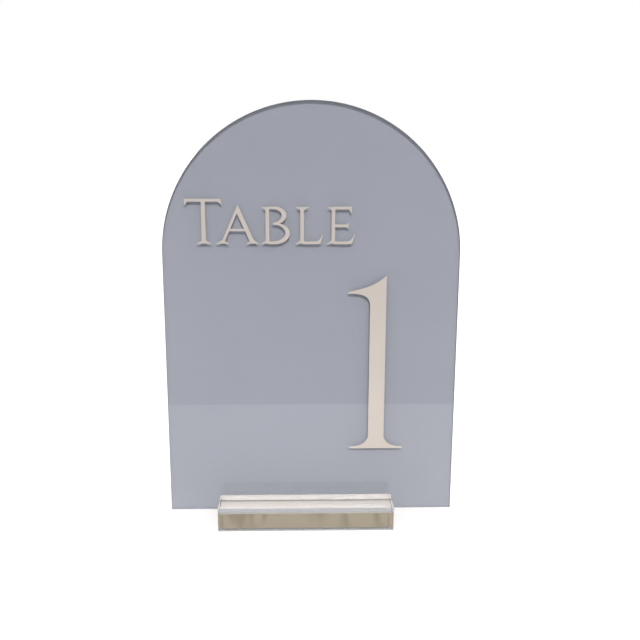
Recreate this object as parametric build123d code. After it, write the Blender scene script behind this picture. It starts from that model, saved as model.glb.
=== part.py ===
from build123d import *
import os

# Free-standing table number sign, in millimetres.
# A clear arched sheet with a coloured film on its back carries a word and a numeral
# cut from thin metallic film. It stands in the slot of a clear rectangular block.
# Origin: middle of the whole sign's footprint, on the surface that it stands on.
# The front faces -Y, +X is to the right as seen from the front, and +Z is up.

# Driving dimensions of the sheet.
SHEET_WIDTH = 148.0
SHEET_HEIGHT = 210.0
SHEET_THICKNESS = 3.0
BACKING_THICKNESS = 0.1

# Driving dimensions of the block.
BLOCK_WIDTH = 90.0
BLOCK_DEPTH = 36.0
BLOCK_HEIGHT = 12.5
BLOCK_CHAMFER = 0.3
BLOCK_OFFSET = -3.0  # the sheet stands slightly to the right of the block's middle
SLOT_DEPTH = 8.0
SLOT_CLEARANCE = 0.1  # on each side of the sheet and its film

# Driving dimensions of the word. Heights are above its baseline.
WORD_BASELINE = 141.1  # above the sheet's lower edge
LARGE_CAPITAL = 22.1
SMALL_CAPITAL = 18.4
LARGE_STEM = 2.15
SMALL_STEM = 1.8
HAIRLINE = 1.3  # thickness of arms and other thin strokes
SERIF_TIP = 0.45
SERIF_RISE = 2.2  # height at which a serif's curve meets its stem
SERIF_CUP = 0.25  # how far a serif's underside is hollowed
BLUNT = 0.35  # width of a pointed tip's end
OVERSHOOT = 0.65  # how far a pointed letter rises above the flat ones

# Driving dimensions of the numeral. Heights are above its baseline.
NUMERAL_BASELINE = 33.8  # above the sheet's lower edge
NUMERAL_HEIGHT = 91.7
NUMERAL_STEM = 8.2
NUMERAL_FOOT = 27.6
NUMERAL_TIP = 1.1  # thickness of the foot's two ends

LETTER_THICKNESS = 0.2

# Places that follow from the driving dimensions.
SLOT_WIDTH = SHEET_THICKNESS + BACKING_THICKNESS + 2 * SLOT_CLEARANCE
SLOT_FLOOR = BLOCK_HEIGHT - SLOT_DEPTH
SHEET_FRONT = -(SHEET_THICKNESS + BACKING_THICKNESS) / 2
SHEET_BACK = SHEET_FRONT + SHEET_THICKNESS
FRONTWARD = (0, -1, 0)
BACKWARD = (0, 1, 0)


def upright_plane(y):
    """A plane across the sign: x to the right, y up from the sheet's lower edge, facing the front."""
    return Plane(origin=(0, y, SLOT_FLOOR), x_dir=(1, 0, 0), z_dir=FRONTWARD)


def polygon(*points):
    """A flat face with straight sides."""
    return make_face(Polyline(*points, close=True))


def closed_face(*lines):
    """A flat face inside a closed chain of lines and curves."""
    return make_face([edge for line in lines for edge in line.edges()])


def bar(left, right, bottom, top):
    """An upright rectangle, from its four sides."""
    return polygon((left, bottom), (right, bottom), (right, top), (left, top))


def quarter(start, corner, end):
    """A quarter of an oval, whose tangents at its start and end meet in the corner."""
    fullness = 0.56  # how far the curve is drawn out towards the corner
    pull_start = tuple(s + fullness * (c - s) for s, c in zip(start, corner))
    pull_end = tuple(e + fullness * (c - e) for e, c in zip(end, corner))
    return Bezier(start, pull_start, pull_end, end)


# Each letter is a group of flat strokes about its own middle, with its baseline at y = 0.


def serif(stem, left, right, lean=0.0):
    """A foot with thin tips, curved up to its stem, which may lean, and slightly hollow underneath."""
    shift = lean * SERIF_RISE
    stem_left = (-stem / 2 + shift, SERIF_RISE)
    stem_right = (stem / 2 + shift, SERIF_RISE)
    underside = ThreePointArc((-left, 0), (0, SERIF_CUP), (right, 0))
    right_curve = Bezier((right, SERIF_TIP), (stem / 2, HAIRLINE), stem_right)
    left_curve = Bezier(stem_left, (-stem / 2, HAIRLINE), (-left, SERIF_TIP))
    right_tip = Line((right, 0), (right, SERIF_TIP))
    left_tip = Line((-left, SERIF_TIP), (-left, 0))
    seam = Line(stem_right, stem_left)
    return closed_face(underside, right_tip, right_curve, seam, left_curve, left_tip)


def head_serif(stem, left, right, height):
    """The same serif turned over, at the top of a stem."""
    return Pos(0, height) * mirror(serif(stem, left, right), about=Plane.XZ)


def hanging_tip(outer, point, root, height, drop):
    """The wedge at the end of an upper arm: places along the arm of its corner, low point and root."""
    blunt = BLUNT if root > point else -BLUNT
    low = height - drop
    underside = height - HAIRLINE
    return polygon((outer, height), (point, low), (point + blunt, low), (root, underside), (root, height))


def lower_arm(end):
    """The lower arm of an L or E, from its stem to a tip that sweeps up and out."""
    tip = end + 1.6
    tip_height = 4.7
    bend = end - 2.5  # where the arm's upper side starts to sweep up
    tip_inside = (tip - BLUNT, tip_height)
    outside = Polyline((0, HAIRLINE), (0, 0), (end, 0), (tip, tip_height), tip_inside)
    sweep = Bezier(tip_inside, (end - 0.4, HAIRLINE), (bend, HAIRLINE))
    return closed_face(outside, sweep, Line((bend, HAIRLINE), (0, HAIRLINE)))


def letter_t():
    """A stem that narrows a little upwards, under a wide arm that ends in two hanging wedges."""
    top = LARGE_CAPITAL
    foot = LARGE_STEM / 2
    head = foot - 0.1
    return [
        polygon((-foot, SERIF_CUP), (foot, SERIF_CUP), (head, top), (-head, top)),
        serif(LARGE_STEM, 3.5, 3.5),
        bar(-8.0, 7.2, top - HAIRLINE, top),
        hanging_tip(-9.3, -8.9, -7.8, top, 3.0),
        hanging_tip(8.6, 9.0, 7.0, top, 2.6),
    ]


def letter_a():
    """A thin left leg and a thick right leg that meet in a blunt point, with a low crossbar."""
    lean = 0.445  # sideways run of each leg for one unit of height
    left, right = -8.85, 8.35  # outer sides of the legs at the baseline
    thin, thick = 1.5, 2.3  # widths of the legs, measured level
    top = SMALL_CAPITAL + OVERSHOOT
    bar_low, bar_high = 6.4, 7.5
    opening_left = left + thin
    opening_right = right - thick
    opening_top = (opening_right - opening_left) / (2 * lean)
    opening_point = (opening_left + lean * opening_top, opening_top)
    legs = polygon((left, 0), (right, 0), (right - lean * top, top), (left + lean * top, top))
    opening = polygon((opening_left, 0), (opening_right, 0), opening_point)
    hollow = bar(left, right, 0, SERIF_CUP)
    return [
        legs - opening - hollow,
        bar(-5.0, 4.5, bar_low, bar_high),
        Pos(left + thin / 2, 0) * serif(thin, 2.9, 3.2, lean),
        Pos(right - thick / 2, 0) * serif(thick, 3.3, 2.5, -lean),
    ]


def bowl(straight, reach, middle, low, high):
    """The half-round side of a B, filled from its stem: straight at first, then round to its reach."""
    return closed_face(
        Polyline((straight, high), (0, high), (0, low), (straight, low)),
        quarter((straight, low), (reach, low), (reach, middle)),
        quarter((reach, middle), (reach, high), (straight, high)),
    )


def letter_b():
    """A stem with two bowls; the hairline between them stops short of the stem."""
    top = SMALL_CAPITAL
    waist = 9.7  # height of the hairline between the bowls
    upper_hairline = 1.1
    waist_hairline = 0.7
    upper_bowl = bowl(3.4, 9.3, 14.3, waist, top)
    lower_bowl = bowl(3.6, 11.0, 5.4, 0, waist + waist_hairline)
    upper_opening = bowl(2.0, 7.0, 14.2, waist + waist_hairline, top - upper_hairline)
    lower_opening = bowl(2.4, 8.8, 5.4, HAIRLINE, waist)
    gap = bar(0, 2.6, waist - 1, waist + 2)
    return [
        upper_bowl + lower_bowl - upper_opening - lower_opening - gap,
        bar(-SMALL_STEM / 2, SMALL_STEM / 2, SERIF_CUP, top - SERIF_CUP),
        serif(SMALL_STEM, 2.9, 1.2),
        head_serif(SMALL_STEM, 2.75, 1.2, top),
    ]


def letter_l():
    """A stem with serifs and a long lower arm."""
    return [
        bar(-SMALL_STEM / 2, SMALL_STEM / 2, SERIF_CUP, SMALL_CAPITAL - SERIF_CUP),
        serif(SMALL_STEM, 3.1, 1.2),
        head_serif(SMALL_STEM, 3.1, 3.4, SMALL_CAPITAL),
        lower_arm(9.0),
    ]


def letter_e():
    """A stem with three arms, the upper one hanging and the lower one swept up."""
    top = SMALL_CAPITAL
    middle_low = 8.4
    middle_high = middle_low + HAIRLINE
    flare_low, flare_high = 7.8, 10.4
    neck, shoulder, end = 6.4, 7.1, 7.45  # where the middle arm starts to flare, is widest, and ends
    flare = polygon(
        (neck, middle_low),
        (shoulder, flare_low),
        (end, flare_low),
        (end, flare_high),
        (shoulder, flare_high),
        (neck, middle_high),
    )
    return [
        bar(-SMALL_STEM / 2, SMALL_STEM / 2, SERIF_CUP, top),
        serif(SMALL_STEM, 3.2, 1.2),
        head_serif(SMALL_STEM, 2.9, 1.2, top),
        bar(0, 8.0, top - HAIRLINE, top),
        hanging_tip(9.3, 8.9, 7.8, top, 3.1),
        bar(0, neck, middle_low, middle_high),
        flare,
        lower_arm(9.2),
    ]


def numeral_1():
    """A tall stem with a bracketed foot and a flag that sweeps down to the left."""
    side = NUMERAL_STEM / 2
    foot = NUMERAL_FOOT / 2
    bracket = 6.0  # height at which the foot's curves meet the stem
    flag_tip = -15.2
    flag_top, flag_bottom = 83.25, 82.35
    under_flag = 76.2  # height at which the flag's underside meets the stem
    right_bracket = Bezier((foot, NUMERAL_TIP), (8.6, NUMERAL_TIP), (6.2, 2.0), (side, bracket))
    left_bracket = Bezier((-side, bracket), (-6.2, 2.0), (-8.6, NUMERAL_TIP), (-foot, NUMERAL_TIP))
    flag_upper = Bezier((side, NUMERAL_HEIGHT), (-1.5, 86.2), (-8.0, 84.7), (flag_tip, flag_top))
    flag_lower = Bezier((flag_tip, flag_bottom), (-9.5, 82.5), (-side, 81.8), (-side, under_flag))
    return [
        closed_face(
            Polyline((-foot, NUMERAL_TIP), (-foot, 0), (foot, 0), (foot, NUMERAL_TIP)),
            right_bracket,
            Line((side, bracket), (side, NUMERAL_HEIGHT)),
            flag_upper,
            Line((flag_tip, flag_top), (flag_tip, flag_bottom)),
            flag_lower,
            Line((-side, under_flag), (-side, bracket)),
            left_bracket,
        )
    ]


# Name, strokes, middle from the sheet's middle, and baseline above the sheet's lower edge.
LETTERING = (
    ("letter_t", letter_t, -53.2, WORD_BASELINE),
    ("letter_a", letter_a, -36.1, WORD_BASELINE),
    ("letter_b", letter_b, -21.85, WORD_BASELINE),
    ("letter_l", letter_l, -4.8, WORD_BASELINE),
    ("letter_e", letter_e, 10.6, WORD_BASELINE),
    ("numeral_1", numeral_1, 33.5, NUMERAL_BASELINE),
)


def cut_letter(strokes, middle, baseline):
    """One character cut from metallic film and stuck to the sheet's front."""
    outline = Sketch() + strokes()
    placed = upright_plane(SHEET_FRONT) * Pos(middle, baseline) * outline
    return extrude(placed, amount=LETTER_THICKNESS, dir=FRONTWARD)


def arch_outline():
    """The outline of the sheet and its film: a flat foot, straight sides and a half-round top."""
    radius = SHEET_WIDTH / 2
    shoulder = SHEET_HEIGHT - radius
    walls = Polyline((-radius, shoulder), (-radius, 0), (radius, 0), (radius, shoulder))
    crown = ThreePointArc((radius, shoulder), (0, SHEET_HEIGHT), (-radius, shoulder))
    return closed_face(walls, crown)


def arched_sheet():
    """The clear sheet."""
    return extrude(upright_plane(SHEET_FRONT) * arch_outline(), amount=SHEET_THICKNESS, dir=BACKWARD)


def colour_backing():
    """The coloured film that covers the sheet's back and was cut together with it."""
    return extrude(upright_plane(SHEET_BACK) * arch_outline(), amount=BACKING_THICKNESS, dir=BACKWARD)


def base_block():
    """The clear block, with a slot from end to end along its middle and narrow chamfers outside."""
    on_floor = (Align.CENTER, Align.CENTER, Align.MIN)
    block = Box(BLOCK_WIDTH, BLOCK_DEPTH, BLOCK_HEIGHT, align=on_floor)
    block = chamfer(block.edges(), BLOCK_CHAMFER)
    slot = Box(BLOCK_WIDTH, SLOT_WIDTH, SLOT_DEPTH, align=on_floor)
    return Pos(BLOCK_OFFSET, 0, 0) * (block - Pos(0, 0, SLOT_FLOOR) * slot)


def write_part(name, solid):
    """Writes one piece, after a look at what it came to."""
    size = solid.bounding_box().size
    print(f"{name}: {len(solid.solids())} solid, {size.X:.2f} x {size.Y:.2f} x {size.Z:.2f}")
    export_step(solid, f"parts/{name}.step")


os.makedirs("parts", exist_ok=True)
write_part("base_block", base_block())
write_part("arched_sheet", arched_sheet())
write_part("colour_backing", colour_backing())
for name, strokes, middle, baseline in LETTERING:
    write_part(name, cut_letter(strokes, middle, baseline))
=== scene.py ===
import math

import bmesh
import bpy
from mathutils import Matrix, Vector


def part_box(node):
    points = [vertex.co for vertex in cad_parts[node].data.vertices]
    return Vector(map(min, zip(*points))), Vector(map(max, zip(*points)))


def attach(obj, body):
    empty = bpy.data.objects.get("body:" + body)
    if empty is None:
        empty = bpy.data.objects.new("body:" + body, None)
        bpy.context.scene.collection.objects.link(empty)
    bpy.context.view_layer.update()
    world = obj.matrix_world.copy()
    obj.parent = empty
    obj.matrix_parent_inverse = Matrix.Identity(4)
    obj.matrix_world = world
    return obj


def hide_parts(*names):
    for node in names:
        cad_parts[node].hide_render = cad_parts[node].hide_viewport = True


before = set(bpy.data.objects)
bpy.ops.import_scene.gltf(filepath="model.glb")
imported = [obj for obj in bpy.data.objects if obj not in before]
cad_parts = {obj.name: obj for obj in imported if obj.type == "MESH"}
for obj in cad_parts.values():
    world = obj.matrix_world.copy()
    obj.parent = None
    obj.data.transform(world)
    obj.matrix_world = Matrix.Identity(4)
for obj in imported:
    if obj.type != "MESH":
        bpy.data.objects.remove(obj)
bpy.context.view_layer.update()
MM = 0.001

# Places that come from the frame.
SHEET_LOW, SHEET_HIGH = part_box("arched_sheet")
FILM_LOW, FILM_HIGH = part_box("colour_backing")
BLOCK_LOW, BLOCK_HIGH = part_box("base_block")
SLOT_CLEARANCE = 0.1 * MM
SLOT_FRONT = SHEET_LOW.y - SLOT_CLEARANCE
SLOT_BACK = FILM_HIGH.y + SLOT_CLEARANCE
SLOT_FLOOR = SHEET_LOW.z

# How clear acrylic bends light, and how it tints what is seen or lit through it.
ACRYLIC_IOR = 1.49
CLEAR_LAMP_TINT = (0.97, 0.98, 0.98)
BLOCK_LAMP_TINT = (0.97, 0.94, 0.91)
SAWN_TINT = (0.97, 0.965, 0.955)
POLISHED_ROUGHNESS = (0.0, 0.003)

# Which way cutting marks run, as how fine the noise is along each axis, per metre.
EVEN_MARKS = (60, 60, 60)
MARKS_THROUGH_SHEET = (900, 900, 60)
MARKS_UP_BLOCK = (500, 500, 12)
MARKS_ALONG_SLOT = (12, 900, 900)

# A face looks along an axis when its normal has more than this share along it.
ALONG = 0.5

# Noise keeps mostly between these values.
NOISE_LOW = 0.3
NOISE_HIGH = 0.7


# ---------------------------------------------------------------- node helpers


def new_material(name):
    """An empty node material with its output node."""
    material = bpy.data.materials.new(name)
    material.use_nodes = True
    nodes = material.node_tree.nodes
    nodes.clear()
    output = nodes.new("ShaderNodeOutputMaterial")
    return material, material.node_tree, output


def add(tree, kind, **values):
    """A node of this kind, with its properties and input sockets set by name."""
    node = tree.nodes.new("ShaderNode" + kind)
    for name, value in values.items():
        if hasattr(node, name):
            setattr(node, name, value)
        else:
            node.inputs[name.replace("_", " ")].default_value = value
    return node


def place(tree, scale):
    """The piece's own coordinates, stretched by a scale along each axis."""
    where = add(tree, "TexCoord")
    mapping = add(tree, "Mapping")
    mapping.inputs["Scale"].default_value = scale
    tree.links.new(where.outputs["Object"], mapping.inputs["Vector"])
    return mapping.outputs["Vector"]


def noise(tree, scale, detail=3.0, stretch=(1, 1, 1)):
    """Noise at this scale per metre, stretched along the piece's axes."""
    node = add(tree, "TexNoise", Scale=scale, Detail=detail)
    tree.links.new(place(tree, stretch), node.inputs["Vector"])
    return node.outputs["Fac"]


def ramp(tree, source, low, high, start=NOISE_LOW, end=NOISE_HIGH):
    """Two colours, mixed by a source between start and end."""
    node = add(tree, "ValToRGB")
    node.color_ramp.elements[0].position = start
    node.color_ramp.elements[1].position = end
    node.color_ramp.elements[0].color = (*low, 1)
    node.color_ramp.elements[1].color = (*high, 1)
    tree.links.new(source, node.inputs["Fac"])
    return node.outputs["Color"]


def spread(tree, source, low, high):
    """A noise, spread over a new range."""
    node = add(tree, "MapRange", From_Min=NOISE_LOW, From_Max=NOISE_HIGH, To_Min=low, To_Max=high)
    tree.links.new(source, node.inputs["Value"])
    return node.outputs["Result"]


def rise(tree, source, start, end):
    """0 where the source is at start, 1 where it is at end, and smooth between."""
    node = add(tree, "MapRange", interpolation_type="SMOOTHSTEP", From_Min=start, From_Max=end)
    tree.links.new(source, node.inputs["Value"])
    return node.outputs["Result"]


def bump(tree, source, strength, distance):
    """A bump from a height source."""
    node = add(tree, "Bump", Strength=strength, Distance=distance)
    tree.links.new(source, node.inputs["Height"])
    return node.outputs["Normal"]


def let_lamps_through(tree, shader, output, tint):
    """Clear plastic that lamps shine through, so that what is behind it is lit and takes crisp shadows."""
    rays = add(tree, "LightPath")
    open_way = add(tree, "BsdfTransparent", Color=(*tint, 1))
    mix = add(tree, "MixShader")
    tree.links.new(rays.outputs["Is Shadow Ray"], mix.inputs["Fac"])
    tree.links.new(shader.outputs["BSDF"], mix.inputs[1])
    tree.links.new(open_way.outputs["BSDF"], mix.inputs[2])
    tree.links.new(mix.outputs["Shader"], output.inputs["Surface"])


# ---------------------------------------------------------------- materials


def acrylic(name, tint, rough, grain=EVEN_MARKS, depth=0.0, lamp_tint=None, clear=1.0):
    """Clear acrylic. Grain is how fine the cutting marks are along each axis, and depth is how deep.

    Lamps shine through it only if it has a lamp tint.
    """
    material, tree, output = new_material(name)
    shader = add(tree, "BsdfPrincipled", IOR=ACRYLIC_IOR)
    shader.inputs["Base Color"].default_value = (*tint, 1)
    shader.inputs["Transmission Weight"].default_value = clear
    marks = noise(tree, 1.0, stretch=grain)
    tree.links.new(spread(tree, marks, rough[0], rough[1]), shader.inputs["Roughness"])
    if depth:
        tree.links.new(bump(tree, marks, 1.0, depth), shader.inputs["Normal"])
    if lamp_tint:
        let_lamps_through(tree, shader, output, lamp_tint)
    else:
        tree.links.new(shader.outputs["BSDF"], output.inputs["Surface"])
    return material


def blue_film():
    """Dusty blue film with faint mottling and a fine orange peel."""
    material, tree, output = new_material("dusty_blue_film")
    shader = add(tree, "BsdfPrincipled", IOR=1.3)
    mottle = noise(tree, 14.0, detail=2.0)
    colour = ramp(tree, mottle, (0.322, 0.332, 0.375), (0.332, 0.342, 0.385))
    tree.links.new(colour, shader.inputs["Base Color"])
    tree.links.new(spread(tree, noise(tree, 180.0), 0.42, 0.55), shader.inputs["Roughness"])
    tree.links.new(bump(tree, noise(tree, 900.0), 0.25, 0.02 * MM), shader.inputs["Normal"])
    tree.links.new(shader.outputs["BSDF"], output.inputs["Surface"])
    return material


def metallic_film():
    """Pale rose gold film with a satin face."""
    material, tree, output = new_material("pale_rose_gold_film")
    shader = add(tree, "BsdfPrincipled", Metallic=0.4)
    patches = noise(tree, 40.0, detail=2.0)
    colour = ramp(tree, patches, (0.505, 0.455, 0.412), (0.525, 0.475, 0.432))
    tree.links.new(colour, shader.inputs["Base Color"])
    tree.links.new(spread(tree, noise(tree, 300.0), 0.45, 0.55), shader.inputs["Roughness"])
    tree.links.new(bump(tree, noise(tree, 2500.0, detail=2.0), 0.2, 0.01 * MM), shader.inputs["Normal"])
    tree.links.new(shader.outputs["BSDF"], output.inputs["Surface"])
    return material


# ---------------------------------------------------------------- shapes


def prism(name, outline, depth, materials, pick, bevel, segments=3):
    """A closed solid from an outline and the vector that it is swept along, with narrow finished edges."""
    mesh = bmesh.new()
    near = [mesh.verts.new(point) for point in outline]
    far = [mesh.verts.new(point + depth) for point in outline]
    count = len(outline)
    mesh.faces.new(near)
    mesh.faces.new(reversed(far))
    for i in range(count):
        j = (i + 1) % count
        mesh.faces.new((near[j], near[i], far[i], far[j]))
    bmesh.ops.recalc_face_normals(mesh, faces=mesh.faces)
    for face in mesh.faces:
        face.smooth = True
        face.material_index = pick(face)
    data = bpy.data.meshes.new(name)
    mesh.to_mesh(data)
    mesh.free()
    for material in materials:
        data.materials.append(material)
    piece = bpy.data.objects.new(name, data)
    bpy.context.scene.collection.objects.link(piece)
    round_edges(piece, bevel, segments)
    return piece


def round_edges(piece, width, segments):
    """Rounds the edges where a piece turns by more than 35 degrees."""
    rounding = piece.modifiers.new("rounded_edges", "BEVEL")
    rounding.width = width
    rounding.segments = segments
    rounding.limit_method = "ANGLE"
    rounding.angle_limit = math.radians(35)
    rounding.harden_normals = True


def arch_points(low, high, y, steps=128):
    """The sheet's outline: a flat foot, straight sides and a half-round top."""
    middle = (low.x + high.x) / 2
    radius = (high.x - low.x) / 2
    shoulder = high.z - radius
    points = [Vector((low.x, y, low.z)), Vector((high.x, y, low.z))]
    for i in range(steps + 1):
        angle = math.pi * i / steps
        x = middle + radius * math.cos(angle)
        points.append(Vector((x, y, shoulder + radius * math.sin(angle))))
    return points


def clear_sheet():
    """The clear sheet: polished faces and foot, and a laser-cut rim that shades what is behind it."""
    face = acrylic("sheet_face", (0.99, 0.99, 0.99), (0.0, 0.006), lamp_tint=CLEAR_LAMP_TINT)
    rim = acrylic("sheet_rim", (0.96, 0.97, 0.98), (0.08, 0.16), MARKS_THROUGH_SHEET, 0.02 * MM)
    outline = arch_points(SHEET_LOW, SHEET_HIGH, SHEET_LOW.y)
    depth = Vector((0, SHEET_HIGH.y - SHEET_LOW.y, 0))
    finishes = [face, rim]

    def finish_of(side):
        polished = abs(side.normal.y) > ALONG or side.normal.z < -ALONG
        return finishes.index(face if polished else rim)

    piece = prism("clear_sheet", outline, depth, finishes, finish_of, 0.12 * MM)
    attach(piece, "sign")
    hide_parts("arched_sheet")


def film():
    """The coloured film. Its front is pressed a hair into the sheet, as an adhesive wets the plastic."""
    wetting = 0.03 * MM
    outline = arch_points(FILM_LOW, FILM_HIGH, FILM_LOW.y - wetting)
    depth = Vector((0, FILM_HIGH.y - FILM_LOW.y + wetting, 0))
    piece = prism("blue_film", outline, depth, [blue_film()], lambda f: 0, 0.02 * MM)
    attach(piece, "sign")
    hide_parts("colour_backing")


def block_profile(shade_front):
    """The block's end, as depths and heights. The strip of painted shade under its slot starts and stops at
    corners too.
    """
    return [
        (BLOCK_LOW.y, BLOCK_LOW.z),
        (shade_front, BLOCK_LOW.z),
        (SLOT_BACK, BLOCK_LOW.z),
        (BLOCK_HIGH.y, BLOCK_LOW.z),
        (BLOCK_HIGH.y, BLOCK_HIGH.z),
        (SLOT_BACK, BLOCK_HIGH.z),
        (SLOT_BACK, SLOT_FLOOR),
        (SLOT_FRONT, SLOT_FLOOR),
        (SLOT_FRONT, BLOCK_HIGH.z),
        (BLOCK_LOW.y, BLOCK_HIGH.z),
    ]


def clear_block():
    """The clear block: polished above and below, sawn on its sides, and milled inside its slot.

    A darker strip on its underside is painted shade: it stands in for the shadow that the sheet casts on
    the table beneath the slot, which shows through the block's top as a thin brown line.
    """
    polished = acrylic("block_polished", (0.98, 0.95, 0.925), POLISHED_ROUGHNESS, lamp_tint=BLOCK_LAMP_TINT)
    # Painted shade: a dark tint on the underside beneath the slot, for the sheet's shadow on the table.
    painted_shade = acrylic("block_painted_shade", (0.31, 0.29, 0.27), POLISHED_ROUGHNESS, lamp_tint=BLOCK_LAMP_TINT)
    sawn = acrylic("block_sawn", SAWN_TINT, (0.012, 0.018), MARKS_UP_BLOCK, lamp_tint=CLEAR_LAMP_TINT)
    milled = {"grain": MARKS_ALONG_SLOT, "lamp_tint": CLEAR_LAMP_TINT}
    slot_wall = acrylic("slot_wall", SAWN_TINT, (0.010, 0.016), clear=0.85, **milled)
    slot_floor = acrylic("slot_floor", SAWN_TINT, (0.04, 0.08), clear=0.5, **milled)
    finishes = [polished, painted_shade, sawn, slot_wall, slot_floor]
    shade_front = SLOT_FRONT + 1.6 * MM
    outline = [Vector((BLOCK_LOW.x, y, z)) for y, z in block_profile(shade_front)]
    margin = MM / 100

    def finish_of(face):
        middle = face.calc_center_median()
        upright = abs(face.normal.y) > ALONG
        if abs(face.normal.x) > ALONG:
            finish = sawn
        elif middle.z < BLOCK_LOW.z + MM:
            # The underside beneath the slot takes the painted shade.
            finish = painted_shade if shade_front < middle.y < SLOT_BACK else polished
        elif SLOT_FRONT - margin <= middle.y <= SLOT_BACK + margin:
            finish = slot_wall if upright else slot_floor
        else:
            finish = sawn if upright else polished
        return finishes.index(finish)

    depth = Vector((BLOCK_HIGH.x - BLOCK_LOW.x, 0, 0))
    piece = prism("clear_block", outline, depth, finishes, finish_of, 0.2 * MM, segments=2)
    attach(piece, "base")
    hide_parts("base_block")


def letters():
    """The cut letters keep their CAD shapes, with their edges softened."""
    film_material = metallic_film()
    for name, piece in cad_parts.items():
        if not name.startswith(("letter_", "numeral_")):
            continue
        piece.data.materials.clear()
        piece.data.materials.append(film_material)
        weld = piece.modifiers.new("joined_corners", "WELD")
        weld.merge_threshold = MM / 1000
        round_edges(piece, 0.04 * MM, segments=2)


# ---------------------------------------------------------------- stage, lights and camera


def pale_floor():
    """A plain pale table top, which ends a little in front of the sign and is wide on its other sides."""
    material, tree, output = new_material("pale_floor")
    shader = add(tree, "BsdfPrincipled", Roughness=0.7)
    shader.inputs["Base Color"].default_value = (0.88, 0.87, 0.86, 1)
    tree.links.new(shader.outputs["BSDF"], output.inputs["Surface"])
    reach = 30.0
    front = BLOCK_LOW.y - 172 * MM
    top = -0.1 * MM  # a gap of air under the block, so that its underside mirrors
    mesh = bpy.data.meshes.new("floor")
    corners = [(-reach, front, top), (reach, front, top), (reach, reach, top), (-reach, reach, top)]
    mesh.from_pydata(corners, [], [(0, 1, 2, 3)])
    mesh.materials.append(material)
    floor = bpy.data.objects.new("floor", mesh)
    bpy.context.scene.collection.objects.link(floor)


def warm_walls(tree, direction):
    """Tan walls with upright streaks, as in a room with curtains and wood. The streaks' shift is given."""
    streak_squash = 0.02
    streak_shift = 0.116
    upright = add(tree, "Mapping")
    upright.inputs["Scale"].default_value = (1, 1, streak_squash)
    upright.inputs["Location"].default_value = (streak_shift, 0, 0)
    tree.links.new(direction, upright.inputs["Vector"])
    streaks = add(tree, "TexNoise", Scale=55.0, Detail=1.0)
    tree.links.new(upright.outputs["Vector"], streaks.inputs["Vector"])
    return ramp(tree, streaks.outputs["Fac"], (0.30, 0.25, 0.175), (0.40, 0.34, 0.25), 0.36, 0.48)


def room_colour(tree):
    """Dim low down in front, bright overhead, and warm behind the sign up to half way to the zenith."""
    where = add(tree, "TexCoord")
    axes = add(tree, "SeparateXYZ")
    direction = where.outputs["Generated"]
    tree.links.new(direction, axes.inputs["Vector"])
    overhead = add(tree, "ValToRGB")
    overhead.color_ramp.elements[0].color = (0.20, 0.20, 0.21, 1)
    overhead.color_ramp.elements[1].color = (1.2, 1.2, 1.22, 1)
    tree.links.new(rise(tree, axes.outputs["Z"], 0.05, 0.5), overhead.inputs["Fac"])
    walls = add(tree, "Math", operation="MULTIPLY")
    tree.links.new(rise(tree, axes.outputs["Y"], 0.2, 0.5), walls.inputs[0])
    tree.links.new(rise(tree, axes.outputs["Z"], 0.7, 0.5), walls.inputs[1])
    colour = add(tree, "MixRGB")
    tree.links.new(walls.outputs["Value"], colour.inputs["Fac"])
    tree.links.new(overhead.outputs["Color"], colour.inputs["Color1"])
    tree.links.new(warm_walls(tree, direction), colour.inputs["Color2"])
    return colour.outputs["Color"]


def soft_room():
    """White straight to the camera, and a soft room to light that falls on the sign or bends through it."""
    world = bpy.data.worlds.new("room")
    bpy.context.scene.world = world
    world.use_nodes = True
    tree = world.node_tree
    tree.nodes.clear()
    output = tree.nodes.new("ShaderNodeOutputWorld")
    seen = add(tree, "Background", Color=(1, 1, 1, 1), Strength=1.0)
    lit = add(tree, "Background", Strength=1.0)
    tree.links.new(room_colour(tree), lit.inputs["Color"])
    rays = add(tree, "LightPath")
    mix = add(tree, "MixShader")
    tree.links.new(rays.outputs["Is Camera Ray"], mix.inputs["Fac"])
    tree.links.new(lit.outputs["Background"], mix.inputs[1])
    tree.links.new(seen.outputs["Background"], mix.inputs[2])
    tree.links.new(mix.outputs["Shader"], output.inputs["Surface"])


def far_lamp(name, up, side, energy, width):
    """A far lamp in front of the sign, with its height, turn to the right and width in degrees.

    The plastic neither mirrors it nor gathers its light into bright flecks.
    """
    up = math.radians(up)
    side = math.radians(side)
    towards = Vector((math.sin(side) * math.cos(up), -math.cos(side) * math.cos(up), math.sin(up)))
    data = bpy.data.lights.new(name, "SUN")
    data.energy = energy
    data.angle = math.radians(width)
    lamp = bpy.data.objects.new(name, data)
    lamp.rotation_euler = towards.to_track_quat("Z", "Y").to_euler()
    lamp.visible_transmission = False
    lamp.visible_glossy = False
    bpy.context.scene.collection.objects.link(lamp)


def lights():
    """A high key lamp for crisp shadows, a wide low fill, and a ceiling lamp that whitens the floor."""
    far_lamp("key", up=30, side=2.5, energy=1.78, width=9)
    far_lamp("fill", up=-4, side=0, energy=0.8, width=50)
    far_lamp("ceiling", up=90, side=0, energy=0.9, width=20)


def camera():
    """In front of the sign, near the height of its top, looking slightly down."""
    data = bpy.data.cameras.new("camera")
    data.sensor_width = 36.0
    data.lens = 44.44
    heading = math.radians(-1.526)
    tilt = math.radians(-12.285)
    roll = math.radians(-0.224)
    standpoint = Vector((-0.0062, -0.3915, 0.1921))
    eye = bpy.data.objects.new("camera", data)
    turn = Matrix.Rotation(heading, 4, "Z") @ Matrix.Rotation(tilt, 4, "X") @ Matrix.Rotation(roll, 4, "Y")
    level = Matrix.Rotation(math.radians(90), 4, "X")
    eye.matrix_world = Matrix.Translation(standpoint) @ turn @ level
    bpy.context.scene.collection.objects.link(eye)
    bpy.context.scene.camera = eye


camera()
pale_floor()
soft_room()
lights()
clear_sheet()
film()
clear_block()
letters()
bpy.context.scene.view_settings.view_transform = "Standard"
